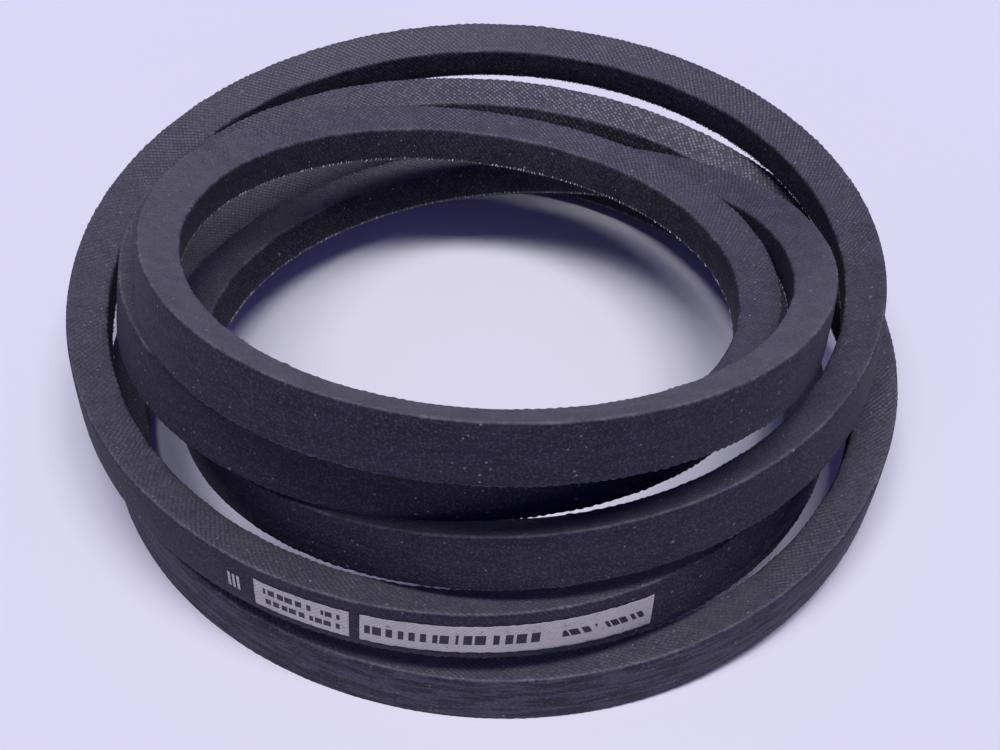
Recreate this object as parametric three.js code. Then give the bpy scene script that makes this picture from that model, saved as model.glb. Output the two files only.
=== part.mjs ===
// A wrapped classical V-belt (section 13 x 8 mm), endless, lying as a loose coil of five turns.
// Millimetres, +Z up. The wide back of the belt faces outwards on every turn. The origin is at the
// middle of the coil's base, on the surface that it rests on.
import * as THREE from 'three';

// ---------------------------------------------------------------- driving dimensions: the section
const TOP_WIDTH = 13;            // across the back of the belt
const THICKNESS = 8;             // from the back to the narrow base
const FLANK_ANGLE = 20;          // degrees, half of the 40 degree groove angle
const COVER = 0.9;               // rubberised fabric wrap
const CORNER = 0.6;              // a corner of the wrap starts to turn this far from its sharp edge
const LAP_GAP = 0.4;             // where the two edges of the wrap meet, along the base
const CLEARANCE = 0.25;          // between neighbouring layers
const TOP_RUBBER = 0.95;         // cushion rubber under the back
const GUM = 0.45;                // adhesion rubber sheet, one above the cord and one below
const CORD = 0.9;                // tension cord
const CORD_LAPS = 5;             // times that the one cord is wound round the whole belt
const CORD_SPREAD = 3.4;         // its first and last laps lie this far either side of the middle

// ---------------------------------------------------------------- driving dimensions: the coil
const STATIONS_PER_TURN = 32;
const BEARINGS = 4;              // each turn is set out at four bearings
const FIRST_BEARING = -90;       // degrees from +X: the front

// How each turn lies: [radius, height, tilt] of the middle of the section at each bearing. Positive
// tilt turns the back of the belt to look upwards. The turns join up in this order, and the right
// side of the last one runs on into the front of the first. The third turn rests on z = 0.
const LAY = [
  { front: [70, 68.5, 12], left: [60, 54.5, 7.5], back: [53.5, 33, -17.5], right: [56, 35.5, -5.5] },
  { front: [60.5, 48, 12], left: [68, 40.5, 8.5], back: [72, 28.6, -9], right: [83.5, 16, -4.5] },
  { front: [74, 6, 0], left: [75, 6, 0], back: [80, 6, 0], right: [70.5, 12.5, 16] },
  { front: [72.4, 23.5, 1.5], left: [80, 27, 0.5], back: [93, 30, 1.5], right: [79, 35.5, 2] },
  { front: [67.5, 37.5, 9], left: [59.5, 20.8, -12], back: [63, 15.4, -21], right: [65, 43.5, -3] },
];
const REST_HEIGHT = 6;           // the lowest that the middle of the section can lie

// ---------------------------------------------------------------- driving dimensions: printed marks
const INK = 0.15;                // thickness of a printed mark
const INK_LIFT = 0.15;           // a mark stands this far clear of the wrap
const PRINT_TURN = 3;            // turns run before the front of the printed one
const PRINT_MIDDLE = -0.4;       // the marks' middle, below the middle of the back
const PANEL_HEIGHT = 7.5;
const LONG_PANEL = [-32.4, 21.6];    // from and to, along the back past the front bearing
const SHORT_PANEL = [23.5, 42];
const BAR_HEIGHT = 4;
const BAR_WIDTH = 0.6;
const BAR_STARTS = [45.2, 46.2, 47.2];

// ---------------------------------------------------------------- the path of the belt
const TURNS = LAY.length;
const STATIONS = TURNS * STATIONS_PER_TURN;
const PATH_STEP = 0.001;         // turns, for taking the path's direction
const radians = THREE.MathUtils.degToRad;
const wrapped = (value, size) => ((value % size) + size) % size;

// A smooth closed curve through evenly spaced values: a cubic between each two, with the slopes at
// the values relaxed until the curvature has no jumps.
function closedSpline(values) {
  const count = values.length;
  const value = (i) => values[wrapped(i, count)];
  const slopes = values.map(() => 0);
  for (let sweep = 0; sweep < 40; sweep++) {
    for (let i = 0; i < count; i++) {
      const neighbours = slopes[wrapped(i - 1, count)] + slopes[wrapped(i + 1, count)];
      slopes[i] = (3 * (value(i + 1) - value(i - 1)) - neighbours) / 4;
    }
  }
  return (place) => {
    const i = Math.floor(place);
    const t = place - i;
    const u = 1 - t;
    const ends = value(i) * u * u * (1 + 2 * t) + value(i + 1) * t * t * (1 + 2 * u);
    return ends + slopes[wrapped(i, count)] * t * u * u - slopes[wrapped(i + 1, count)] * t * t * u;
  };
}

const knots = LAY.flatMap((turn) => [turn.front, turn.left, turn.back, turn.right]);
const radiusAt = closedSpline(knots.map(([radius]) => radius));
const heightAt = closedSpline(knots.map(([, height]) => height));
const tiltAt = closedSpline(knots.map(([, , tilt]) => tilt));

function pathPoint(turnsRun) {
  const knot = turnsRun * BEARINGS;
  const bearing = radians(FIRST_BEARING - 360 * turnsRun);
  const radius = radiusAt(knot);
  const height = Math.max(heightAt(knot), REST_HEIGHT);
  return new THREE.Vector3(radius * Math.cos(bearing), radius * Math.sin(bearing), height);
}

// One station of the sweep: the middle of the section, the way out through its back, and the way
// up across its width.
function makeStation(turnsRun) {
  const middle = pathPoint(turnsRun);
  const along = pathPoint(turnsRun + PATH_STEP).sub(pathPoint(turnsRun - PATH_STEP)).normalize();
  const level = new THREE.Vector3(middle.x, middle.y, 0).normalize();
  level.addScaledVector(along, -level.dot(along)).normalize();
  const upright = new THREE.Vector3().crossVectors(along, level);
  const tilt = radians(tiltAt(turnsRun * BEARINGS));
  const back = level.clone().multiplyScalar(Math.cos(tilt)).addScaledVector(upright, Math.sin(tilt));
  const across = upright.multiplyScalar(Math.cos(tilt)).addScaledVector(level, -Math.sin(tilt));
  return { middle, back, across };
}

const stations = Array.from({ length: STATIONS }, (_, i) => makeStation(i / STATIONS_PER_TURN));

// A point of the section at a station: depth is measured in from the back, side is across it. The
// lowest edge is pressed flat where the coil rests.
function sectionPoint(stationIndex, depth, side) {
  const station = stations[wrapped(stationIndex, STATIONS)];
  const point = station.middle.clone();
  point.addScaledVector(station.back, THICKNESS / 2 - depth);
  point.addScaledVector(station.across, side);
  point.z = Math.max(point.z, 0);
  return point;
}

// The same between two stations, on the straight line from one to the next.
function pointBetween(stationPlace, depth, side) {
  const i = Math.floor(stationPlace);
  const start = sectionPoint(i, depth, side);
  return start.lerp(sectionPoint(i + 1, depth, side), stationPlace - i);
}

// ---------------------------------------------------------------- solids
// Rings of points with the same count, each joined to the next. A closed sweep joins its last ring
// to its first, and an open one has flat ends, which suits the convex sections it is used for.
function sweep(rings, closed) {
  const size = rings[0].length;
  const positions = rings.flat().flatMap((point) => point.toArray());
  const triangles = [];
  const joins = closed ? rings.length : rings.length - 1;
  for (let r = 0; r < joins; r++) {
    const here = r * size;
    const next = ((r + 1) % rings.length) * size;
    for (let k = 0; k < size; k++) {
      const after = (k + 1) % size;
      triangles.push(here + k, next + after, here + after);
      triangles.push(here + k, next + k, next + after);
    }
  }
  if (!closed) {
    const last = (rings.length - 1) * size;
    for (let k = 1; k < size - 1; k++) {
      triangles.push(0, k, k + 1);
      triangles.push(last, last + k + 1, last + k);
    }
  }
  const geometry = new THREE.BufferGeometry();
  geometry.setAttribute('position', new THREE.Float32BufferAttribute(positions, 3));
  geometry.setIndex(triangles);
  geometry.computeVertexNormals();
  return geometry;
}

// A section, as [depth, side] points, carried once round the whole belt.
function beltSolid(section) {
  const ring = (_, i) => section.map(([depth, side]) => sectionPoint(i, depth, side));
  return sweep(Array.from({ length: STATIONS }, ring), true);
}

// ---------------------------------------------------------------- sections
const flank = radians(FLANK_ANGLE);
const halfWidth = (depth) => TOP_WIDTH / 2 - depth * Math.tan(flank);
const insetHalfWidth = (depth, inset) => halfWidth(depth) - inset / Math.cos(flank);
const otherSide = (half) => half.map(([depth, side]) => [depth, -side]).reverse();

// A trapezoid between two depths, its flanks set in from the belt's own.
function layerSection(from, to, inset) {
  const half = [[to, insetHalfWidth(to, inset)], [from, insetHalfWidth(from, inset)]];
  return [...half, ...otherSide(half)];
}

// The wrap: its outside with rounded corners, then its inside, open along the lap in the base.
function coverSection() {
  const turnDepth = CORNER * Math.cos(flank);
  const turnSide = CORNER * Math.sin(flank);
  const roundness = (Math.PI / 2 - flank) / 2;
  const nose = CORNER * (1 / Math.cos(roundness) - Math.tan(roundness));
  const outside = [
    [THICKNESS, LAP_GAP / 2],
    [THICKNESS, halfWidth(THICKNESS) - CORNER],
    [THICKNESS - turnDepth, halfWidth(THICKNESS) + turnSide],
    [turnDepth, halfWidth(0) - turnSide],
    [nose * Math.sin(roundness), halfWidth(0) - nose * Math.cos(roundness)],
    [0, halfWidth(0) - CORNER],
  ];
  const inside = [
    [COVER, insetHalfWidth(COVER, COVER)],
    [THICKNESS - COVER, insetHalfWidth(THICKNESS - COVER, COVER)],
    [THICKNESS - COVER, LAP_GAP / 2],
  ];
  return [...outside, ...otherSide(outside), ...otherSide(inside), ...inside];
}

// ---------------------------------------------------------------- depths of the layers
const topRubberTop = COVER + CLEARANCE;
const topRubberBase = topRubberTop + TOP_RUBBER;
const upperGumTop = topRubberBase + CLEARANCE;
const upperGumBase = upperGumTop + GUM;
const cordMiddle = upperGumBase + CLEARANCE + CORD / 2;
const lowerGumTop = cordMiddle + CORD / 2 + CLEARANCE;
const lowerGumBase = lowerGumTop + GUM;
const coreTop = lowerGumBase + CLEARANCE;
const coreBase = THICKNESS - COVER - CLEARANCE;
const layerInset = COVER + CLEARANCE;

// ---------------------------------------------------------------- pieces
// One cord wound round the belt again and again, drifting from one side of it to the other, with
// its two cut ends at the same station.
function tensionCord() {
  const rings = [];
  const last = CORD_LAPS * STATIONS;
  for (let i = 0; i <= last; i++) {
    const side = CORD_SPREAD * (2 * i / last - 1);
    rings.push([
      sectionPoint(i, cordMiddle + CORD / 2, side),
      sectionPoint(i, cordMiddle, side + CORD / 2),
      sectionPoint(i, cordMiddle - CORD / 2, side),
      sectionPoint(i, cordMiddle, side - CORD / 2),
    ]);
  }
  return sweep(rings, false);
}

// The place, in stations, that lies a distance along the back past the front of the printed turn.
function printPlace(distance) {
  const front = PRINT_TURN * STATIONS_PER_TURN;
  const way = Math.sign(distance);
  let left = Math.abs(distance);
  let place = front;
  for (;;) {
    const length = sectionPoint(place, 0, 0).distanceTo(sectionPoint(place + way, 0, 0));
    if (left < length) return place + way * left / length;
    left -= length;
    place += way;
  }
}

// A printed mark: a thin sheet that follows the back, bent at every station that it crosses.
function printedMark([from, to], height) {
  const start = printPlace(from);
  const end = printPlace(to);
  const places = [start];
  for (let i = Math.floor(start) + 1; i < end; i++) places.push(i);
  places.push(end);
  const low = PRINT_MIDDLE - height / 2;
  const high = PRINT_MIDDLE + height / 2;
  const rings = places.map((place) => [
    pointBetween(place, -INK_LIFT, high),
    pointBetween(place, -INK_LIFT - INK, high),
    pointBetween(place, -INK_LIFT - INK, low),
    pointBetween(place, -INK_LIFT, low),
  ]);
  return sweep(rings, false);
}

// ---------------------------------------------------------------- materials and assembly
const finish = (color, roughness) => new THREE.MeshStandardMaterial({ color, roughness, metalness: 0 });
const coverFabric = finish('#33323a', 0.82);
const cushionRubber = finish('#1d1c20', 0.7);
const gumRubber = finish('#2b2522', 0.65);
const cordYarn = finish('#b9b0a0', 0.75);
const coreRubber = finish('#171719', 0.75);
const silverInk = finish('#b3b0a6', 0.5);

const belt = new THREE.Group();

function addPiece(name, geometry, material) {
  const mesh = new THREE.Mesh(geometry, material);
  mesh.name = name;
  belt.add(mesh);
}

addPiece('fabric_cover', beltSolid(coverSection()), coverFabric);
addPiece('top_rubber', beltSolid(layerSection(topRubberTop, topRubberBase, layerInset)), cushionRubber);
addPiece('upper_gum', beltSolid(layerSection(upperGumTop, upperGumBase, layerInset)), gumRubber);
addPiece('tension_cord', tensionCord(), cordYarn);
addPiece('lower_gum', beltSolid(layerSection(lowerGumTop, lowerGumBase, layerInset)), gumRubber);
addPiece('base_rubber', beltSolid(layerSection(coreTop, coreBase, layerInset)), coreRubber);
addPiece('print_panel_long', printedMark(LONG_PANEL, PANEL_HEIGHT), silverInk);
addPiece('print_panel_short', printedMark(SHORT_PANEL, PANEL_HEIGHT), silverInk);
BAR_STARTS.forEach((start, i) => {
  addPiece(`print_bar_${i + 1}`, printedMark([start, start + BAR_WIDTH], BAR_HEIGHT), silverInk);
});

// The coil is not round, so its own frame is put at the middle of its base.
const extent = new THREE.Box3().setFromObject(belt);
const middle = extent.getCenter(new THREE.Vector3());
belt.position.set(-middle.x, -middle.y, 0);

export default belt;
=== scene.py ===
"""The looks of a wrapped V-belt that lies as a loose coil of five turns.

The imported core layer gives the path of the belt. The woven cover, the layers inside it and the
printed marks are swept along that path again, finely. Metres, in the frame of the CAD, +Z up.
"""
import math

import bpy
import numpy as np
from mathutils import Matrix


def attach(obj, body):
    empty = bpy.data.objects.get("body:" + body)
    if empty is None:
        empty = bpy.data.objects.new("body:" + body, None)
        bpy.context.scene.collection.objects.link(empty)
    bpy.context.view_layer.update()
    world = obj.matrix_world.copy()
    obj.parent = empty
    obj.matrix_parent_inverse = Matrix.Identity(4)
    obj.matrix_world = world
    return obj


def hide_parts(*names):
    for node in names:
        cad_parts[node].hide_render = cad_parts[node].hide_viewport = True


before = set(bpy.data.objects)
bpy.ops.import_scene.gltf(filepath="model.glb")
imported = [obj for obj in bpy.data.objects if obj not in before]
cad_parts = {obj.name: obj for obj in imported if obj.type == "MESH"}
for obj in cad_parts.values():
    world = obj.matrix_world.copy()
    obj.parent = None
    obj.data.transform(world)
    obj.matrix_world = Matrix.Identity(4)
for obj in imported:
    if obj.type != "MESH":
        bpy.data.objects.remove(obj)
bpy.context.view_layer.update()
MM = 0.001

# ------------------------------------------------------------------ the section of the belt
TOP_WIDTH = 13 * MM
THICKNESS = 8 * MM
FLANK_ANGLE = math.radians(20)
CORNER = 0.6 * MM            # a corner starts to turn this far from its sharp edge
CROWN = 0.12 * MM            # the back bulges this much in its middle
HOLLOW = 0.10 * MM           # and each flank sinks this much
LAP_EDGE = 1.1 * MM          # the wrap's outer edge lies this far past the middle of the base
LAP_START = -2 * LAP_EDGE    # and the wrap is double from here to that edge
LAP_STEP = 0.14 * MM         # so it stands this proud
CORE_DEPTH = 4.9 * MM        # from the back of the belt to the wide side of its core layer


def half_width(depth):
    """Half of the belt's width at a depth in from its back."""
    return TOP_WIDTH / 2 - depth * math.tan(FLANK_ANGLE)


# ------------------------------------------------------------------ the path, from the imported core
RING_SPAN = 9 * MM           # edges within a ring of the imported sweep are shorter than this
SAME_POINT = 0.001 * MM
STEP = 0.5 * MM              # between the fine stations
DENSE = 0.02                 # of the way from one packed ring to the next, to measure the length


def packed_rings(node):
    """The corner points of each ring of a packed sweep, in order round the belt, clockwise from above."""
    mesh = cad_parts[node].data
    corners = np.array([v.co for v in mesh.vertices])
    _, first, merged = np.unique(
        np.round(corners / SAME_POINT), axis=0, return_index=True, return_inverse=True)
    points = corners[first]
    ends = merged.ravel()[np.array([e.vertices[:] for e in mesh.edges])]
    length = np.linalg.norm(points[ends[:, 0]] - points[ends[:, 1]], axis=1)
    short = ends[(length > 0) & (length < RING_SPAN)]
    ring = np.arange(len(points))
    for _ in range(len(points)):
        lowest = ring[short].min(axis=1)
        joined = ring.copy()
        np.minimum.at(joined, short[:, 0], lowest)
        np.minimum.at(joined, short[:, 1], lowest)
        if (joined == ring).all():
            break
        ring = joined
    members = {r: points[ring == r] for r in np.unique(ring)}
    neighbours = {r: set() for r in members}
    for a, b in ring[ends[length >= RING_SPAN]]:
        neighbours[a].add(b)
        neighbours[b].add(a)
    start = max(members, key=lambda r: members[r][:, 2].mean())
    centre = members[start].mean(axis=0)

    def turning(r):
        x, y, _ = members[r].mean(axis=0)
        return centre[0] * y - centre[1] * x

    order = [start, min(neighbours[start], key=turning)]
    while len(order) < len(members):
        order.append(next(r for r in neighbours[order[-1]] if r != order[-2]))
    return [members[r] for r in order]


def unit(vectors):
    return vectors / np.linalg.norm(vectors, axis=-1, keepdims=True)


def coarse_stations():
    """The middle of the section and the way out through its back, at each packed ring."""
    middles, backs = [], []
    for corners in packed_rings("base_rubber"):
        spread = np.linalg.norm(corners - corners.mean(axis=0), axis=1)
        by_width = corners[np.argsort(spread)]
        narrow, wide = by_width[:2].mean(axis=0), by_width[2:].mean(axis=0)
        back = unit(wide - narrow)
        backs.append(back)
        middles.append(wide + back * (CORE_DEPTH - THICKNESS / 2))
    return np.array(middles), np.array(backs)


def closed_spline(values, places):
    """A smooth closed curve through evenly numbered values, read at fractional places."""
    count = len(values)
    system = 4 * np.eye(count) + np.roll(np.eye(count), 1, 0) + np.roll(np.eye(count), -1, 0)
    slopes = np.linalg.solve(system, 3 * (np.roll(values, -1, 0) - np.roll(values, 1, 0)))
    here = np.floor(places).astype(int) % count
    after = (here + 1) % count
    t = (places - np.floor(places))[:, None]
    u = 1 - t
    ends = values[here] * u * u * (1 + 2 * t) + values[after] * t * t * (1 + 2 * u)
    return ends + slopes[here] * t * u * u - slopes[after] * t * t * u


coarse_middle, coarse_back = coarse_stations()
RINGS = len(coarse_middle)
dense = np.arange(0, RINGS, DENSE)
dense_middle = closed_spline(coarse_middle, dense)
dense_steps = np.linalg.norm(np.roll(dense_middle, -1, 0) - dense_middle, axis=1)
dense_distance = np.concatenate([[0], np.cumsum(dense_steps)])
BELT_LENGTH = dense_distance[-1]


class Stations:
    """The middle of the section and its three directions, at distances along the belt."""

    def __init__(self, distance):
        self.distance = distance
        places = np.interp(distance % BELT_LENGTH, dense_distance, np.append(dense, RINGS))
        ahead = np.interp((distance + STEP) % BELT_LENGTH, dense_distance, np.append(dense, RINGS))
        self.middle = closed_spline(coarse_middle, places)
        along = unit(closed_spline(coarse_middle, ahead) - self.middle)
        back = closed_spline(coarse_back, places)
        self.along = along
        self.back = unit(back - along * (back * along).sum(axis=1, keepdims=True))
        self.across = np.cross(along, self.back)

    def surface(self, depth, side):
        """Points at depths in from the back and sides across it: one row for each station."""
        depth = np.broadcast_to(depth, (len(self.middle), np.shape(depth)[-1]))
        side = np.broadcast_to(side, depth.shape)
        points = self.middle[:, None] + self.back[:, None] * (THICKNESS / 2 - depth)[..., None]
        points = points + self.across[:, None] * side[..., None]
        points[..., 2] = np.maximum(points[..., 2], 0)
        return points


STATIONS = round(BELT_LENGTH / STEP)
whole = Stations(np.arange(STATIONS) * BELT_LENGTH / STATIONS)


# ------------------------------------------------------------------ meshes
def grid_faces(rows, columns, close_rows, close_columns):
    """Four-sided faces of a grid of points, counted row by row."""
    r = np.arange(rows if close_rows else rows - 1)[:, None]
    c = np.arange(columns if close_columns else columns - 1)[None, :]
    next_r, next_c = (r + 1) % rows, (c + 1) % columns
    faces = np.stack([r * columns + c, r * columns + next_c,
                      next_r * columns + next_c, next_r * columns + c], axis=-1)
    return faces.reshape(-1, 4)


def new_piece(name, points, faces, uvs=None):
    """A smooth-shaded mesh that rides on the belt's body. uvs holds one pair for each face corner."""
    mesh = bpy.data.meshes.new(name)
    mesh.from_pydata([], [], [])
    mesh.vertices.add(len(points))
    mesh.vertices.foreach_set("co", np.asarray(points, np.float32).ravel())
    size = faces.shape[1]
    mesh.loops.add(faces.size)
    mesh.loops.foreach_set("vertex_index", faces.astype(np.int32).ravel())
    mesh.polygons.add(len(faces))
    mesh.polygons.foreach_set("loop_start", np.arange(0, faces.size, size, dtype=np.int32))
    mesh.polygons.foreach_set("use_smooth", np.ones(len(faces), bool))
    if uvs is not None:
        layer = mesh.uv_layers.new(name="belt")
        layer.data.foreach_set("uv", np.asarray(uvs, np.float32).ravel())
    mesh.update(calc_edges=True)
    mesh.validate()
    piece = bpy.data.objects.new(name, mesh)
    bpy.context.scene.collection.objects.link(piece)
    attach(piece, "root")
    return piece


def end_faces(first, count, flipped):
    """Closes the end of a tube whose last ring holds this many points, with four-sided faces."""
    k = np.arange(count // 2 - 1)
    faces = first + np.stack([k, k + 1, count - 2 - k, count - 1 - k], axis=-1)
    return faces[:, ::-1] if flipped else faces


def point_values(piece, name, values):
    """Stores one number for each point, which a material can read by name."""
    attribute = piece.data.attributes.new(name, "FLOAT", "POINT")
    attribute.data.foreach_set("value", np.asarray(values, np.float32).ravel())


def wander(distance, pitch, seed):
    """A smooth random value from -1 to 1 that closes on itself round the belt."""
    knots = max(4, round(BELT_LENGTH / pitch))
    heights = np.random.default_rng(seed).uniform(-1, 1, (knots, 1))
    return closed_spline(heights, distance / BELT_LENGTH * knots)[:, 0]


# ------------------------------------------------------------------ the woven cover
SCALLOP = 1.7 * MM           # a thread of the wrap stands out at a corner about this often
SCALLOP_DEPTH = 0.38 * MM
SCALLOP_LEVEL = 0.55         # this share of the depth is sunk and the rest stands proud
CREST_SHARPNESS = 0.7        # below 1 the crests are broad and the notches between them narrow
CREST_SWAY = 0.9             # the threads stray from even places by this share of their pitch
CREST_HEIGHT = 0.70          # the height of a crest varies round this share of the depth
FLAT_CELL = 1.1 * MM
ARC_CELLS = 5
SWELL = 0.024 * MM           # slow unevenness of the cover
SWELL_WAVES = 5
SOFT_EDGE = 0.6 * CORNER     # the back and the base fade into a corner over this much of its depth
CORNER_SEED, HEIGHT_SEED, SWELL_SEED = 40, 50, 70


def cover_outline():
    """Half of the outline, from the middle of the base out and up to the middle of the back. Returns
    depth, side, the way out as (depth, side) and how far each point is into a corner, from 0 to 1."""
    rows = []

    def flat(start, end, out, bulge, skip_last=True):
        count = max(2, round(math.dist(start, end) / FLAT_CELL))
        for i in range(count if skip_last else count + 1):
            t = i / count
            lift = bulge(t)
            depth = start[0] + (end[0] - start[0]) * t + out[0] * lift
            side = start[1] + (end[1] - start[1]) * t + out[1] * lift
            rows.append((depth, side, out[0], out[1], 0.0))

    def arc(start, first_out, last_out):
        turn = math.acos(first_out[0] * last_out[0] + first_out[1] * last_out[1])
        radius = CORNER / math.tan(turn / 2)
        middle = (start[0] - radius * first_out[0], start[1] - radius * first_out[1])
        for i in range(ARC_CELLS):
            t = i / ARC_CELLS
            a = math.sin((1 - t) * turn) / math.sin(turn)
            b = math.sin(t * turn) / math.sin(turn)
            out = (a * first_out[0] + b * last_out[0], a * first_out[1] + b * last_out[1])
            point = (middle[0] + radius * out[0], middle[1] + radius * out[1])
            rows.append((*point, *out, math.sin(math.pi * t)))

    base_out, back_out = (1.0, 0.0), (-1.0, 0.0)
    flank_out = (math.sin(FLANK_ANGLE), math.cos(FLANK_ANGLE))
    slope = (math.cos(FLANK_ANGLE), -math.sin(FLANK_ANGLE))
    base_corner = (THICKNESS, half_width(THICKNESS))
    back_corner = (0.0, half_width(0))
    base_end = (THICKNESS, base_corner[1] - CORNER)
    flank_start = (base_corner[0] - CORNER * slope[0], base_corner[1] - CORNER * slope[1])
    flank_end = (back_corner[0] + CORNER * slope[0], back_corner[1] + CORNER * slope[1])
    back_start = (0.0, back_corner[1] - CORNER)
    flat((THICKNESS, 0.0), base_end, base_out, lambda t: 0.0)
    arc(base_end, base_out, flank_out)
    flat(flank_start, flank_end, flank_out, lambda t: -HOLLOW * math.sin(math.pi * t))
    arc(flank_end, flank_out, back_out)
    flat(back_start, (0.0, 0.0), back_out, lambda t: CROWN * math.sin(math.pi * t / 2), False)
    return np.array(rows)


def whole_outline():
    """The outline from the base's middle, up one side, over the back and down the other."""
    half = cover_outline()
    mirrored = half[-2:0:-1] * np.array([1, -1, 1, -1, 1])
    outline = np.concatenate([half, mirrored])
    steps = np.linalg.norm(np.diff(outline[:, :2], axis=0, append=outline[:1, :2]), axis=1)
    return outline, np.concatenate([[0], np.cumsum(steps)])


def ragged(distance, seed):
    """Irregular knobs along one corner: 1 on the crest of a thread, 0 between two threads."""
    phase = distance / SCALLOP + CREST_SWAY * wander(distance, 9 * MM, CORNER_SEED + seed)
    crest = np.abs(np.sin(math.pi * phase)) ** CREST_SHARPNESS
    height = wander(distance, 2.3 * MM, HEIGHT_SEED + seed)
    return crest * (CREST_HEIGHT + (1 - CREST_HEIGHT) * height)


def corner_notches(distance, outline):
    """How far each point of the cover lies below the general surface, sunk between the threads that
    stand out along its corners or proud on one, and how much of a crest it is."""
    depth, side, into = outline[:, 0], outline[:, 1], outline[:, 4]
    sunk = np.zeros((len(distance), len(outline)))
    crest = np.zeros_like(sunk)
    for seed, (low, right) in enumerate([(True, True), (True, False), (False, True), (False, False)]):
        mine = into * ((depth > THICKNESS / 2) == low) * ((side > 0) == right)
        knobs = ragged(distance, seed)
        sunk += (SCALLOP_DEPTH * (SCALLOP_LEVEL - knobs))[:, None] * mine[None, :]
        crest += knobs[:, None] * mine[None, :]
    return sunk, crest


def unevenness(distance, outline):
    """Slow swells and hollows of the cover."""
    swell = np.zeros((len(distance), len(outline)))
    girth_turn = np.arctan2(outline[:, 1], outline[:, 0] - THICKNESS / 2)
    for k in range(1, SWELL_WAVES + 1):
        wave = wander(distance, (30 / k + 4) * MM, SWELL_SEED + k)[:, None]
        swell += wave * np.sin(k * girth_turn + k)[None, :] / k
    return swell * SWELL


def belt_map(faces, girth):
    """Distance along the belt and round its section, for each corner of the cover's turned-over faces."""
    row, column = np.divmod(faces[:, 0], len(girth) - 1)
    far_along = np.append(whole.distance, BELT_LENGTH)[row + 1]
    near_along = whole.distance[row]
    return np.stack([
        np.stack([far_along, girth[column]], -1),
        np.stack([far_along, girth[column + 1]], -1),
        np.stack([near_along, girth[column + 1]], -1),
        np.stack([near_along, girth[column]], -1)], axis=1)


def build_cover(material):
    """The wrap's outer surface, with its map and the values that its material reads."""
    outline, girth = whole_outline()
    depth, side = outline[:, 0], outline[:, 1]
    on_lap = (depth > THICKNESS - SAME_POINT) & (side < LAP_EDGE) & (side > LAP_START)
    sunk, crest = corner_notches(whole.distance, outline)
    proud = unevenness(whole.distance, outline) - sunk + LAP_STEP * on_lap[None, :]
    points = whole.surface(depth[None, :] + proud * outline[:, 2], side[None, :] + proud * outline[:, 3])
    rows, columns = points.shape[:2]
    faces = grid_faces(rows, columns, True, True)
    piece = new_piece("woven_cover", points.reshape(-1, 3), faces[:, ::-1], belt_map(faces, girth))
    on_back = np.clip((SOFT_EDGE - depth) / SOFT_EDGE, 0, 1)
    on_base = np.clip((depth - THICKNESS + SOFT_EDGE) / SOFT_EDGE, 0, 1)
    point_values(piece, "on_back", np.tile(on_back, rows))
    point_values(piece, "on_base", np.tile(on_base, rows))
    point_values(piece, "crest", crest)
    piece.data.materials.append(material)
    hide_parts("fabric_cover")


# ------------------------------------------------------------------ materials
THREAD = 0.85 * MM           # from one thread of the wrap to the next
BIAS = math.radians(45)      # the threads run at this angle to the belt
THREAD_SWAY, THREAD_LEAN = 1.3, 1.0      # the two sets of threads stray by up to half of these pitches
CROSSING_SHARE = 0.65                    # how much lower a bead is where the thread dips under another
WORN_LEAST = 0.30                        # what is left of the most worn bead
FLANK_DARK, FLANK_LIGHT = (0.039, 0.035, 0.050, 1), (0.058, 0.053, 0.069, 1)
UPPER_FLANK_DARK, UPPER_FLANK_LIGHT = (0.077, 0.071, 0.082, 1), (0.107, 0.099, 0.108, 1)
BACK_DARK, BACK_LIGHT = (0.009, 0.008, 0.018, 1), (0.020, 0.018, 0.035, 1)
# the back of the turn on the ground, lighter: painted light from the floor
FLOOR_LIT_BACK_DARK, FLOOR_LIT_BACK_LIGHT = (0.014, 0.011, 0.025, 1), (0.060, 0.054, 0.084, 1)
BASE_DARK, BASE_LIGHT = (0.009, 0.008, 0.013, 1), (0.018, 0.016, 0.024, 1)
# lighter thread crowns and darker gaps between threads: the cloth's tone, with painted highlight and
# painted shade
THREAD_TONE_AND_HIGHLIGHT = (0.165, 0.156, 0.180, 1)
GAP_TONE_AND_SHADE = (0.018, 0.016, 0.026, 1)
# a painted glint on the thread beads
PAINTED_GLINT = (0.27, 0.26, 0.30, 1)
# dust and a painted highlight on the thread crests along the corners
CREST_DUST_AND_HIGHLIGHT = (0.21, 0.205, 0.21, 1)
LINT = (0.22, 0.215, 0.22, 1)
YARN_DARK, YARN_LIGHT = (0.34, 0.31, 0.25, 1), (0.56, 0.53, 0.45, 1)
YARN_STAIN = (0.28, 0.24, 0.19, 1)
UPPER_FROM, UPPER_TO = 40 * MM, 62 * MM    # the flanks are lighter on the turns above this height
FAR_FROM, FAR_TO = -30 * MM, 60 * MM     # the weave's painted highlight and shade are clearer towards the back of the coil, where the light glints
HIGH_FROM, HIGH_TO = 52 * MM, 34 * MM    # and on the lower turns, where less has rubbed it
ON_GROUND, OFF_GROUND = 12 * MM, 18 * MM
LEAST_KEPT, LOW_KEPT = 0.14, 0.55        # how clear it is at the front, on the upper and lower turns
GLINT_MIDDLE, GLINT_SPAN = 0.277, 0.038  # shares of the belt's length: a painted glint lies on its thread beads here
RUBBED_FLAT = 0.75                       # share of the weave that has gone from the back and the base
STREAK_STRETCH = 7.0                     # streaks are this many times longer than they are wide
LINT_KINDS = [(420.0, 0.955, 0.20), (1200.0, 0.965, 0.34)]   # cells to a metre, rarity, size in a cell


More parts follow.
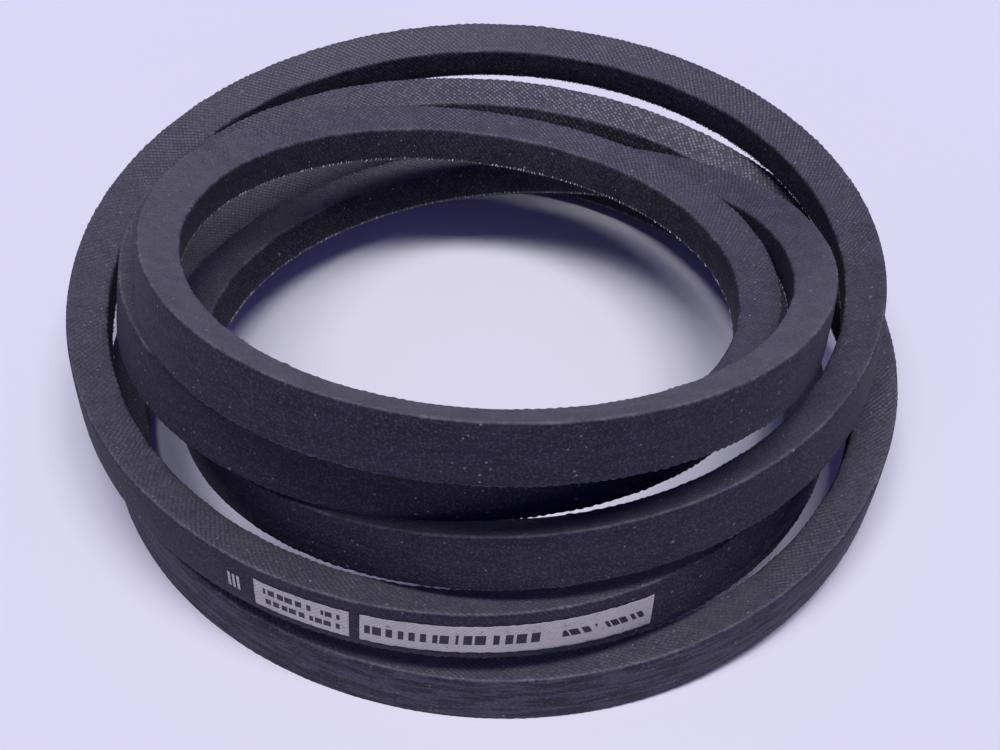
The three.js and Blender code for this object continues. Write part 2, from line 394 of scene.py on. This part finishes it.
class Material:
    """A node material, built up by short calls."""

    def __init__(self, name):
        self.material = bpy.data.materials.new(name)
        self.material.use_nodes = True
        self.tree = self.material.node_tree
        self.surface = next(n for n in self.tree.nodes if n.type == "BSDF_PRINCIPLED")

    def node(self, kind, inputs=(), **settings):
        made = self.tree.nodes.new("ShaderNode" + kind)
        for key, value in settings.items():
            setattr(made, key, value)
        for key, value in dict(inputs).items():
            self.feed(made.inputs[key], value)
        return made

    def feed(self, socket, value):
        if isinstance(value, bpy.types.NodeSocket):
            self.tree.links.new(value, socket)
        else:
            socket.default_value = value

    def maths(self, operation, *values):
        return self.node("Math", enumerate(values), operation=operation).outputs[0]

    def scaled(self, value, factor):
        return self.maths("MULTIPLY", value, factor)

    def ramp(self, value, low, high, to_low=0.0, to_high=1.0):
        inputs = {0: value, 1: low, 2: high, 3: to_low, 4: to_high}
        return self.node("MapRange", inputs, interpolation_type="SMOOTHSTEP").outputs[0]

    def blend(self, share, first, second):
        made = self.node("Mix", {0: share}, data_type="RGBA")
        self.feed(made.inputs[6], first)
        self.feed(made.inputs[7], second)
        return made.outputs[2]

    def noise(self, vector, scale, detail=3.0, roughness=0.5):
        inputs = {"Vector": vector, "Scale": scale, "Detail": detail, "Roughness": roughness}
        return self.node("TexNoise", inputs).outputs["Fac"]

    def attribute(self, name):
        return self.node("Attribute", attribute_name=name).outputs["Fac"]

    def belt_place(self):
        """Distance along the belt and round its section, in metres, from the map named belt."""
        split = self.node("SeparateXYZ", {0: self.node("UVMap", uv_map="belt").outputs[0]})
        return split.outputs[0], split.outputs[1]

    def ring_vector(self, along, around, stretch=1.0):
        """A place for noise that closes on itself round the belt. A stretch above 1 draws the noise
        out along the belt."""
        turn = self.scaled(along, 2 * math.pi / BELT_LENGTH)
        radius = BELT_LENGTH / (2 * math.pi) / stretch
        x = self.scaled(self.maths("COSINE", turn), radius)
        y = self.scaled(self.maths("SINE", turn), radius)
        return self.node("CombineXYZ", {0: x, 1: y, 2: around}).outputs[0]

    def weave(self, along, around, place):
        """The beads of a bias weave, each where two threads cross and some worn lower than others."""
        turns = round(BELT_LENGTH * math.cos(BIAS) / THREAD) / BELT_LENGTH
        u = self.scaled(along, turns)
        v = self.scaled(around, math.sin(BIAS) / THREAD)
        sway = self.scaled(self.maths("SUBTRACT", self.noise(place, 120.0, 3.0), 0.5), THREAD_SWAY)
        lean = self.scaled(self.maths("SUBTRACT", self.noise(place, 160.0, 2.0), 0.5), THREAD_LEAN)
        first = self.maths("ADD", self.maths("ADD", u, v), sway)
        second = self.maths("ADD", self.maths("SUBTRACT", u, v), lean)
        cell = self.node("CombineXYZ", {0: self.maths("FLOOR", first), 1: self.maths("FLOOR", second)})
        draw = self.node("TexWhiteNoise", {"Vector": cell.outputs[0]}, noise_dimensions="2D")
        dip = self.scaled(self.crown(second), CROSSING_SHARE)
        whole_bead = self.maths("MULTIPLY", self.crown(first), self.maths("ADD", dip, 1 - CROSSING_SHARE))
        worn = self.ramp(draw.outputs["Value"], 0.0, 1.0, WORN_LEAST, 1.0)
        return self.maths("MULTIPLY", whole_bead, worn)

    def crown(self, phase):
        """1 on the crown of a thread and 0 between two."""
        wave = self.maths("ABSOLUTE", self.maths("SINE", self.scaled(phase, math.pi)))
        return self.ramp(wave, 0.15, 1.0)

    def lint(self, place, scale, rarity, size):
        """Sparse small flecks: a cell of the pattern has one if its random draw is above the rarity."""
        cells = self.node("TexVoronoi", {"Vector": place, "Scale": scale})
        draw = self.node("SeparateColor", {0: cells.outputs["Color"]}).outputs[0]
        chosen = self.maths("GREATER_THAN", draw, rarity)
        fleck = self.ramp(cells.outputs["Distance"], size * 0.4, size, 0.7, 0.0)
        return self.maths("MULTIPLY", fleck, chosen)

    def bump(self, height, distance, strength=1.0, under=None):
        inputs = {"Height": height, "Distance": distance, "Strength": strength}
        if under is not None:
            inputs["Normal"] = under
        return self.node("Bump", inputs).outputs[0]

    def finish(self, colour, roughness, normal=None):
        self.feed(self.surface.inputs["Base Color"], colour)
        self.feed(self.surface.inputs["Roughness"], roughness)
        if normal is not None:
            self.feed(self.surface.inputs["Normal"], normal)
        return self.material


def weave_clarity(m, patches, where, unrubbed):
    """How clear the weave is: it is rubbed in patches and more on the upper turns, and it is clearest
    towards the back of the coil, where its painted highlight and shade stand for the light glinting on the
    far flanks.
    """
    far = m.ramp(where[1], FAR_FROM, FAR_TO, LEAST_KEPT, 1.0)
    low = m.ramp(where[2], HIGH_TO, HIGH_FROM, LOW_KEPT, LEAST_KEPT)
    kept = m.maths("MAXIMUM", far, low)
    in_patches = m.ramp(patches, 0.36, 0.62, 0.30, 1.0)
    return m.maths("MULTIPLY", in_patches, m.maths("MULTIPLY", unrubbed, kept))


def painted_glint_beads(m, along, bead, unrubbed):
    """A painted glint on the beads over the one stretch of the belt where the light glints on the far
    flank.
    """
    from_shiny = m.maths("ABSOLUTE", m.maths("SUBTRACT", along, GLINT_MIDDLE * BELT_LENGTH))
    near, far = 0.3 * GLINT_SPAN * BELT_LENGTH, GLINT_SPAN * BELT_LENGTH
    glint_share = m.ramp(from_shiny, near, far, 1.0, 0.0)
    return m.maths("MULTIPLY", m.maths("MULTIPLY", glint_share, unrubbed), m.ramp(bead, 0.35, 0.85))


def cloth_shades(m, blotches, streaks, where, on_back, on_base):
    """Flanks that are lighter on the upper turns, a dark streaky back, lighter with painted light from the
    floor on the turn that lies on the ground, and a dark base.
    """
    upper_share = m.ramp(where[2], UPPER_FROM, UPPER_TO)
    cloud = m.ramp(blotches, 0.3, 0.7)
    flank = m.blend(upper_share, m.blend(cloud, FLANK_DARK, FLANK_LIGHT), m.blend(cloud, UPPER_FLANK_DARK, UPPER_FLANK_LIGHT))
    ground = m.ramp(where[2], ON_GROUND, OFF_GROUND, 1.0, 0.0)
    high_back = m.blend(m.ramp(streaks, 0.25, 0.75), BACK_DARK, BACK_LIGHT)
    # painted light from the floor on the back of the turn that lies on the ground
    floor_lit_back = m.blend(m.ramp(streaks, 0.40, 0.60), FLOOR_LIT_BACK_DARK, FLOOR_LIT_BACK_LIGHT)
    back = m.blend(ground, high_back, floor_lit_back)
    return m.blend(on_base, m.blend(on_back, flank, back), m.blend(cloud, BASE_DARK, BASE_LIGHT))


def wear_and_crest_highlight(m, colour, place, grain, dusty_highlit_crest):
    """Grain, dust and a painted highlight on the crests of the corners, and lint."""
    mottle = m.ramp(grain, 0.34, 0.66, -1.0, 1.0)
    colour = m.blend(m.ramp(mottle, 0.1, 1.0, 0.0, 0.22), colour, THREAD_TONE_AND_HIGHLIGHT)
    colour = m.blend(m.ramp(mottle, -0.1, -1.0, 0.0, 0.40), colour, GAP_TONE_AND_SHADE)
    colour = m.blend(dusty_highlit_crest, colour, CREST_DUST_AND_HIGHLIGHT)
    for scale, rarity, size in LINT_KINDS:
        colour = m.blend(m.lint(place, scale, rarity, size), colour, LINT)
    return colour


def cover_material():
    """Rubberised woven cloth: threads at a bias, clearest on the flanks and rubbed smooth on the back."""
    m = Material("woven_rubber_cloth")
    along, around = m.belt_place()
    place = m.ring_vector(along, around)
    on_back, on_base, crest = m.attribute("on_back"), m.attribute("on_base"), m.attribute("crest")
    where = m.node("SeparateXYZ", {0: m.node("TexCoord").outputs["Object"]}).outputs
    patches = m.noise(place, 60.0, 4.0, 0.6)
    blotches = m.noise(place, 190.0, 4.0, 0.65)
    streaks = m.noise(m.ring_vector(along, around, STREAK_STRETCH), 900.0, 4.0, 0.62)
    grain = m.noise(place, 2100.0, 3.0, 0.75)
    bead = m.weave(along, around, place)
    rubbed = m.maths("ADD", m.scaled(on_back, RUBBED_FLAT), m.scaled(on_base, RUBBED_FLAT))
    unrubbed = m.maths("SUBTRACT", 1.0, rubbed)
    clear = weave_clarity(m, patches, where, unrubbed)
    threads = m.maths("MULTIPLY", bead, clear)
    gaps_toned_and_shaded = m.maths("MULTIPLY", m.ramp(bead, 0.30, 0.0), clear)

    colour = cloth_shades(m, blotches, streaks, where, on_back, on_base)
    # the weave: lighter crowns and darker gaps, partly painted highlight and painted shade, strongest
    # towards the back of the coil
    colour = m.blend(m.scaled(threads, 0.6), colour, THREAD_TONE_AND_HIGHLIGHT)
    colour = m.blend(m.scaled(gaps_toned_and_shaded, 0.6), colour, GAP_TONE_AND_SHADE)
    # a painted glint on the thread beads of one stretch of the far flank
    colour = m.blend(m.scaled(painted_glint_beads(m, along, bead, unrubbed), 0.65), colour, PAINTED_GLINT)
    # the thread crests along the corners: dust with a painted highlight
    dusty_highlit_crest = m.maths("MULTIPLY", crest, m.ramp(blotches, 0.42, 0.66, 0.05, 0.55))
    colour = wear_and_crest_highlight(m, colour, place, grain, dusty_highlit_crest)

    shine = m.maths("ADD", threads, m.scaled(m.ramp(grain, 0.5, 0.8), 0.3))
    roughness = m.ramp(shine, 0.0, 1.2, 0.68, 0.42)
    folded = m.maths("MULTIPLY", streaks, m.ramp(on_back, 0.0, 1.0, 0.35, 1.0))
    folds = m.bump(folded, 0.18 * MM, 0.8, m.bump(threads, 0.20 * MM, 0.9))
    shielded = m.maths("MAXIMUM", on_base, m.scaled(on_back, RUBBED_FLAT))
    m.feed(m.surface.inputs["Specular IOR Level"], m.ramp(shielded, 0.0, 1.0, 0.58, 0.12))
    return m.finish(colour, roughness, m.bump(grain, 0.05 * MM, 0.6, folds))


def rubber_material(name, dark, light, roughness):
    """Moulded rubber: a fine pitted skin with cloudy shades."""
    m = Material(name)
    place = m.node("TexCoord").outputs["Object"]
    cloud = m.noise(place, 90.0, 3.0)
    pits = m.noise(place, 2400.0, 3.0, 0.65)
    colour = m.blend(m.ramp(cloud, 0.35, 0.65), dark, light)
    colour = m.blend(m.ramp(pits, 0.6, 0.8, 0.0, 0.4), colour, light)
    height = m.maths("ADD", pits, m.scaled(cloud, 0.5))
    sheen = m.ramp(pits, 0.3, 0.7, roughness + 0.08, roughness - 0.08)
    return m.finish(colour, sheen, m.bump(height, 0.05 * MM))


def yarn_material():
    """Twisted polyester yarn, its filaments running with the strands."""
    m = Material("cord_yarn")
    along, around = m.attribute("cord_along"), m.attribute("cord_around")
    place = m.node("CombineXYZ", {0: m.scaled(along, 0.25), 1: around, 2: 0.0}).outputs[0]
    filaments = m.noise(place, 9.0, 3.0, 0.6)
    shade = m.noise(m.node("TexCoord").outputs["Object"], 120.0, 2.0)
    colour = m.blend(m.ramp(filaments, 0.35, 0.65), YARN_DARK, YARN_LIGHT)
    colour = m.blend(m.ramp(shade, 0.45, 0.75, 0.0, 0.3), colour, YARN_STAIN)
    return m.finish(colour, m.ramp(filaments, 0.3, 0.7, 0.7, 0.5), m.bump(filaments, 0.04 * MM))


# ------------------------------------------------------------------ printed marks
INK_DULL, INK_BRIGHT = (0.41, 0.395, 0.37, 1), (0.55, 0.53, 0.50, 1)
INK_DARK = (0.022, 0.020, 0.034, 1)
INK_WEAVE = 0.95             # threads under the ink, to each millimetre along and across
INK_LIFT = 0.09 * MM         # the film's underside lies this far off the crowned back
INK_THICK = 0.05 * MM
INK_CELL = 0.35 * MM
INK_RAGGED = 0.10 * MM       # the weave under the ink frays its long edges by this much
INK_SEEDS = (91, 92)         # one for each long edge
STROKE_LEAST, STROKE_MOST = 0.45, 0.86   # a stroke's width, as a share of the pitch


def node_stretch(node):
    """Where a packed mark lies: from and to along the belt, and from and to across its back."""
    corners = np.array([v.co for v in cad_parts[node].data.vertices])
    crown = whole.middle + whole.back * THICKNESS / 2
    nearest = [int(np.argmin(np.linalg.norm(crown - corner, axis=1))) for corner in corners]
    along = [whole.distance[i] + (c - crown[i]) @ whole.along[i] for i, c in zip(nearest, corners)]
    across = [(c - crown[i]) @ whole.across[i] for i, c in zip(nearest, corners)]
    return min(along), max(along), min(across), max(across)


def printed_mark(node, material):
    """A thin film of ink that follows the crowned back of the belt."""
    start, end, low, high = node_stretch(node)
    rows = max(4, round((end - start) / INK_CELL))
    columns = max(4, round((high - low) / INK_CELL))
    stretch = Stations(np.linspace(start, end, rows))
    fray = INK_RAGGED * np.stack([wander(stretch.distance, 0.8 * MM, seed) for seed in INK_SEEDS], axis=-1)
    share = np.linspace(0, 1, columns)
    side = low + (high - low) * share[None, :] + fray[:, :1] * (1 - share) ** 8 + fray[:, 1:] * share ** 8
    crown = CROWN * np.cos(math.pi / 2 * np.clip(side / half_width(0), -1, 1))
    top = stretch.surface(-(crown + INK_LIFT + INK_THICK), side)
    under = stretch.surface(-(crown + INK_LIFT), side)[:, ::-1]
    points = np.concatenate([top, under], axis=1)
    ring = 2 * columns
    faces = np.concatenate([
        grid_faces(rows, ring, False, True)[:, ::-1],
        end_faces(0, ring, True),
        end_faces((rows - 1) * ring, ring, False)])
    piece = new_piece(node + "_ink", points.reshape(-1, 3), faces)
    across = np.concatenate([share, share[::-1]])
    point_values(piece, "mark_along", np.repeat(stretch.distance - start, ring) / MM)
    point_values(piece, "mark_across", np.tile(across, rows) * (high - low) / MM)
    piece.data.materials.append(material)
    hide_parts(node)


def ink_material(name, rows):
    """Worn silver ink on the weave. Each of the rows is a run of plain dark strokes: from and to along
    the mark, low and high across it and their pitch, in millimetres, and their slope. A stroke's width
    is a random share of the pitch."""
    m = Material(name)
    along, across = m.attribute("mark_along"), m.attribute("mark_across")
    place = m.node("TexCoord").outputs["Object"]
    wear = m.noise(place, 1100.0, 4.0, 0.7)
    cloud = m.noise(place, 160.0, 3.0)
    threads = m.crown(m.maths("ADD", m.scaled(along, INK_WEAVE), m.scaled(across, INK_WEAVE)))
    colour = m.blend(cloud, INK_DULL, INK_BRIGHT)
    colour = m.blend(m.ramp(threads, 0.4, 0.0, 0.0, 0.22), colour, INK_DARK)
    for start, end, low, high, pitch, lean in rows:
        run = m.maths("SUBTRACT", along, m.scaled(across, lean))
        number = m.maths("FLOOR", m.maths("DIVIDE", run, pitch))
        draw = m.node("TexWhiteNoise", {"W": number}, noise_dimensions="1D").outputs
        width = m.ramp(draw["Value"], 0.0, 1.0, STROKE_LEAST, STROKE_MOST)
        stroke = m.maths("LESS_THAN", m.maths("FRACT", m.maths("DIVIDE", run, pitch)), width)
        for limit, beyond in ((start, "GREATER_THAN"), (end, "LESS_THAN")):
            stroke = m.maths("MULTIPLY", stroke, m.maths(beyond, along, limit))
        for limit, beyond in ((low, "GREATER_THAN"), (high, "LESS_THAN")):
            stroke = m.maths("MULTIPLY", stroke, m.maths(beyond, across, limit))
        colour = m.blend(stroke, colour, INK_DARK)
    colour = m.blend(m.ramp(wear, 0.60, 0.72, 0.0, 0.8), colour, INK_DARK)
    m.feed(m.surface.inputs["Metallic"], m.ramp(wear, 0.55, 0.7, 0.55, 0.1))
    normal = m.bump(threads, 0.05 * MM, 0.5, m.bump(wear, 0.04 * MM, 0.5))
    return m.finish(colour, m.ramp(wear, 0.35, 0.7, 0.46, 0.7), normal)


# ------------------------------------------------------------------ the layers inside the cover
LAYER_INSET = 1.15 * MM      # from the belt's own flank to a layer's
LAYER_STEP = 2 * MM
LAYER_COLUMNS = 9
LAYER_SWELL = 0.03 * MM
LAYER_EDGE = 0.06 * MM       # its top and base draw together by this much at each side
CORD_DEPTH = 3.5 * MM
CORD_SPREAD = 3.4 * MM       # its first and last laps lie this far either side of the middle
CORD_LAPS = 5
CORD_RADIUS = 0.43 * MM
CORD_STEP = 1.4 * MM
STRANDS = 3
STRAND_TURN = 7 * MM         # a strand goes once round the cord in this length
STRAND_GROOVE = 0.10         # share of the cord's radius that the grooves between strands take
CORD_POINTS = 12


def layer_side(depth):
    """Half of a layer's width at a depth in from the back."""
    return half_width(depth) - LAYER_INSET / math.cos(FLANK_ANGLE)


def layer(name, node, slot, top, base, seed, material):
    """One layer between two depths: a slightly uneven sheet that runs the whole way round."""
    distance = np.arange(0, BELT_LENGTH - LAYER_STEP / 2, LAYER_STEP)
    distance = distance * BELT_LENGTH / (len(distance) * LAYER_STEP)
    widths = np.linspace(-1, 1, LAYER_COLUMNS)
    base_depth = np.full(LAYER_COLUMNS, base)
    base_depth[[0, -1]] -= LAYER_EDGE
    top_depth = np.full(LAYER_COLUMNS, top)
    top_depth[[0, -1]] += LAYER_EDGE
    depth = np.concatenate([base_depth, top_depth])
    side = np.concatenate([widths * layer_side(base), widths[::-1] * layer_side(top)])
    swell = LAYER_SWELL * wander(distance, 12 * MM, seed)[:, None]
    points = Stations(distance).surface(depth[None, :] + swell, side)
    rows, columns = points.shape[:2]
    piece = new_piece(name, points.reshape(-1, 3), grid_faces(rows, columns, True, True)[:, ::-1])
    piece.data.materials.append(material)
    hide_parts(node)


def build_cord(material):
    """One twisted cord of three strands, wound round the belt again and again from side to side."""
    total = CORD_LAPS * BELT_LENGTH
    run = np.linspace(0, total, round(total / CORD_STEP))
    angle = 2 * math.pi * np.arange(CORD_POINTS) / CORD_POINTS
    turned = angle[None, :] + 2 * math.pi * run[:, None] / STRAND_TURN
    radius = CORD_RADIUS * (1 - STRAND_GROOVE + STRAND_GROOVE * np.cos(STRANDS * angle))
    depth = CORD_DEPTH - radius * np.cos(turned)
    side = CORD_SPREAD * (2 * run / total - 1)[:, None] + radius * np.sin(turned)
    points = Stations(run).surface(depth, side)
    rows = len(run)
    faces = np.concatenate([
        grid_faces(rows, CORD_POINTS, False, True),
        end_faces(0, CORD_POINTS, False),
        end_faces((rows - 1) * CORD_POINTS, CORD_POINTS, True)])
    piece = new_piece("twisted_cord", points.reshape(-1, 3), faces)
    point_values(piece, "cord_along", np.repeat(run, CORD_POINTS) / MM)
    point_values(piece, "cord_around", np.tile(np.sin(angle), rows))
    piece.data.materials.append(material)
    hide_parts("tension_cord")


# ------------------------------------------------------------------ fraying along the base's lower corner
LOOP_PITCH = 0.9 * MM
LOOP_CHANCE = 0.75
LOOP_THICK = 0.12 * MM       # its radius half way, and it thins towards its ends
LOOP_THIN = 0.35
LOOP_REACH = (0.30, 0.60)    # millimetres that it runs up the flank and in under the base
LOOP_RISE = (0.02, 0.10)     # that it stands off the corner
LOOP_LEAN = (-0.35, 0.35)    # and that it drifts along the belt
LOOP_OFF = 0.02 * MM         # its ends lie this far off the cloth
LOOP_RINGS = 6
LOOP_POINTS = 5
LOOP_SEED = 29
FRAY_DARK, FRAY_LIGHT = (0.16, 0.155, 0.17, 1), (0.78, 0.77, 0.78, 1)


def loop_line(random, station):
    """The middle line of one stray filament that bends round the lower corner of the base."""
    reach = random.uniform(*LOOP_REACH) * MM
    rise = random.uniform(*LOOP_RISE) * MM
    lean = random.uniform(*LOOP_LEAN) * MM
    t = np.linspace(0, 1, LOOP_RINGS)
    start = np.array([THICKNESS - reach, half_width(THICKNESS - reach) + LOOP_OFF])
    corner = np.array([THICKNESS, half_width(THICKNESS)])
    end = np.array([THICKNESS + LOOP_OFF, corner[1] - reach])
    bent = (1 - t)[:, None] ** 2 * start + 2 * (t * (1 - t))[:, None] * corner + t[:, None] ** 2 * end
    out = np.array([math.sin(math.pi / 4), math.cos(math.pi / 4)])
    bent = bent + (rise * np.sin(math.pi * t))[:, None] * out
    return station.surface(bent[:, 0], -bent[:, 1])[0] + station.along[0] * (lean * t)[:, None]


def loop_of_thread(random, station):
    """Rings of points round one stray filament."""
    middle = loop_line(random, station)
    way = unit(np.gradient(middle, axis=0))
    over = unit(np.cross(way, station.along[0]))
    aside = np.cross(way, over)
    swelling = np.sin(math.pi * np.linspace(0, 1, LOOP_RINGS))
    thick = LOOP_THICK * (LOOP_THIN + (1 - LOOP_THIN) * swelling)[:, None, None]
    angle = 2 * math.pi * np.arange(LOOP_POINTS) / LOOP_POINTS
    return middle[:, None] + thick * (
        over[:, None] * np.cos(angle)[None, :, None] + aside[:, None] * np.sin(angle)[None, :, None])


def build_fraying(material):
    """Stray filaments all along one lower corner of the base, as one piece."""
    random = np.random.default_rng(LOOP_SEED)
    points, faces = [], []
    pattern = grid_faces(LOOP_RINGS, LOOP_POINTS, False, True)
    distance = 0.0
    while distance < BELT_LENGTH:
        distance += LOOP_PITCH * random.uniform(0.6, 1.4)
        if random.random() > LOOP_CHANCE:
            continue
        rings = loop_of_thread(random, Stations(np.array([distance])))
        faces.append(pattern + len(points) * LOOP_RINGS * LOOP_POINTS)
        points.append(rings.reshape(-1, 3))
    piece = new_piece("frayed_threads", np.concatenate(points), np.concatenate(faces))
    piece.data.materials.append(material)


def fraying_material():
    """Pale fibre, darker where it is dirty."""
    m = Material("frayed_thread")
    place = m.node("TexCoord").outputs["Object"]
    shade = m.noise(place, 700.0, 2.0)
    colour = m.blend(m.ramp(shade, 0.40, 0.62), FRAY_DARK, FRAY_LIGHT)
    return m.finish(colour, 0.75, m.bump(m.noise(place, 5000.0, 2.0), 0.02 * MM))


# ------------------------------------------------------------------ floor, light and camera
FLOOR_SIZE = 4.0
FLOOR_DARK, FLOOR_LIGHT = (0.70, 0.69, 0.735, 1), (0.74, 0.73, 0.77, 1)
LAMP_LEAN = math.radians(13)  # from straight above towards the camera
LAMP_COUNT = 5                # a row of lamps from left to right acts as one wide soft lamp
LAMP_SPACING = math.radians(9)
LAMP_ANGLE = math.radians(13)
LAMP_STRENGTH = 0.61
LAMP_COLOUR = (1.0, 0.99, 1.05)
SURROUND_COLOUR = (0.33, 0.27, 1.15, 1)
SURROUND_STRENGTH = 0.24
BACKDROP_COLOUR = (0.66, 0.63, 0.78, 1)


def build_floor():
    """A plain pale floor, a little uneven in tone."""
    floor = bpy.data.objects.new("floor", bpy.data.meshes.new("floor"))
    half = FLOOR_SIZE / 2
    floor.data.from_pydata([(-half, -half, 0), (half, -half, 0), (half, half, 0), (-half, half, 0)],
                           [], [(0, 1, 2, 3)])
    m = Material("pale_floor")
    tone = m.noise(m.node("TexCoord").outputs["Object"], 6.0, 2.0)
    colour = m.blend(tone, FLOOR_DARK, FLOOR_LIGHT)
    m.surface.inputs["Specular IOR Level"].default_value = 0.2
    floor.data.materials.append(m.finish(colour, 0.6))
    bpy.context.scene.collection.objects.link(floor)


def build_lamps():
    """One wide soft lamp above the coil, leaning a little to the front."""
    for k in range(LAMP_COUNT):
        lamp = bpy.data.lights.new("overhead_%d" % (k + 1), "SUN")
        lamp.energy = LAMP_STRENGTH
        lamp.angle = LAMP_ANGLE
        lamp.color = LAMP_COLOUR
        holder = bpy.data.objects.new(lamp.name, lamp)
        holder.rotation_euler = (LAMP_LEAN, (k - (LAMP_COUNT - 1) / 2) * LAMP_SPACING, 0)
        bpy.context.scene.collection.objects.link(holder)


def build_surround():
    """A faint bluish light from all round, which the camera sees as a pale backdrop."""
    world = bpy.data.worlds.new("studio")
    world.use_nodes = True
    tree = world.node_tree
    surround = tree.nodes["Background"]
    surround.inputs["Color"].default_value = SURROUND_COLOUR
    surround.inputs["Strength"].default_value = SURROUND_STRENGTH
    backdrop = tree.nodes.new("ShaderNodeBackground")
    backdrop.inputs["Color"].default_value = BACKDROP_COLOUR
    seen = tree.nodes.new("ShaderNodeLightPath")
    chosen = tree.nodes.new("ShaderNodeMixShader")
    tree.links.new(seen.outputs["Is Camera Ray"], chosen.inputs[0])
    tree.links.new(surround.outputs[0], chosen.inputs[1])
    tree.links.new(backdrop.outputs[0], chosen.inputs[2])
    tree.links.new(chosen.outputs[0], tree.nodes["World Output"].inputs["Surface"])
    bpy.context.scene.world = world
    bpy.context.scene.view_settings.view_transform = "Standard"


CAMERA_PLACE = (-0.00517, -0.24895, 0.25725)
CAMERA_TURN = (44.262, -1.060, -0.909)     # degrees, as Blender's X, Y and Z turns
SENSOR_WIDTH = 36.0                        # millimetres, as the focal length
FOCAL_LENGTH = 57.38
CLIP_START = 0.01


def build_camera():
    camera = bpy.data.objects.new("camera", bpy.data.cameras.new("camera"))
    camera.location = CAMERA_PLACE
    camera.rotation_euler = [math.radians(a) for a in CAMERA_TURN]
    camera.data.sensor_width = SENSOR_WIDTH
    camera.data.lens = FOCAL_LENGTH
    camera.data.clip_start = CLIP_START
    bpy.context.scene.collection.objects.link(camera)
    bpy.context.scene.camera = camera


# ------------------------------------------------------------------ assembly
RUBBERS = {
    # slot: dark and light shade, roughness
    "core_rubber": ((0.010, 0.010, 0.011, 1), (0.022, 0.021, 0.023, 1), 0.62),
    "cushion_rubber": ((0.013, 0.012, 0.014, 1), (0.028, 0.026, 0.028, 1), 0.55),
    "gum_rubber": ((0.030, 0.024, 0.020, 1), (0.055, 0.045, 0.036, 1), 0.50),
}
LAYERS = [
    # piece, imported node, slot, depths of its top and base, seed of its unevenness
    ("cushion_layer", "top_rubber", "cushion_rubber", 1.15 * MM, 2.10 * MM, 13),
    ("gum_layer_upper", "upper_gum", "gum_rubber", 2.35 * MM, 2.80 * MM, 15),
    ("gum_layer_lower", "lower_gum", "gum_rubber", 4.20 * MM, 4.65 * MM, 15),
    ("core_layer", "base_rubber", "core_rubber", CORE_DEPTH, 6.85 * MM, 10),
]
# strokes: from and to along the mark, low and high across it, pitch, slope
LONG_MARKS = [
    (20.5, 35.0, 2.3, 5.0, 2.3, 0.0),
    (35.6, 52.6, 2.3, 4.8, 1.9, 0.0),
    (1.6, 9.5, 2.7, 4.5, 1.6, 0.5),
    (10.6, 16.8, 2.7, 4.5, 2.0, 0.5),
]
SHORT_MARKS = [
    (1.6, 5.0, 4.4, 5.9, 1.5, 0.0),
    (6.6, 15.8, 4.4, 6.1, 1.7, 0.0),
    (1.6, 15.8, 1.5, 3.1, 1.6, 0.0),
]
BARS = ["print_bar_1", "print_bar_2", "print_bar_3"]

build_cover(cover_material())
build_fraying(fraying_material())

rubbers = {slot: rubber_material(slot, *look) for slot, look in RUBBERS.items()}
for name, node, slot, top, base, seed in LAYERS:
    layer(name, node, slot, top, base, seed, rubbers[slot])
build_cord(yarn_material())

printed_mark("print_panel_long", ink_material("ink_long_panel", LONG_MARKS))
printed_mark("print_panel_short", ink_material("ink_short_panel", SHORT_MARKS))
bar_ink = ink_material("ink_bars", [])
for bar in BARS:
    printed_mark(bar, bar_ink)

build_floor()
build_lamps()
build_surround()
build_camera()
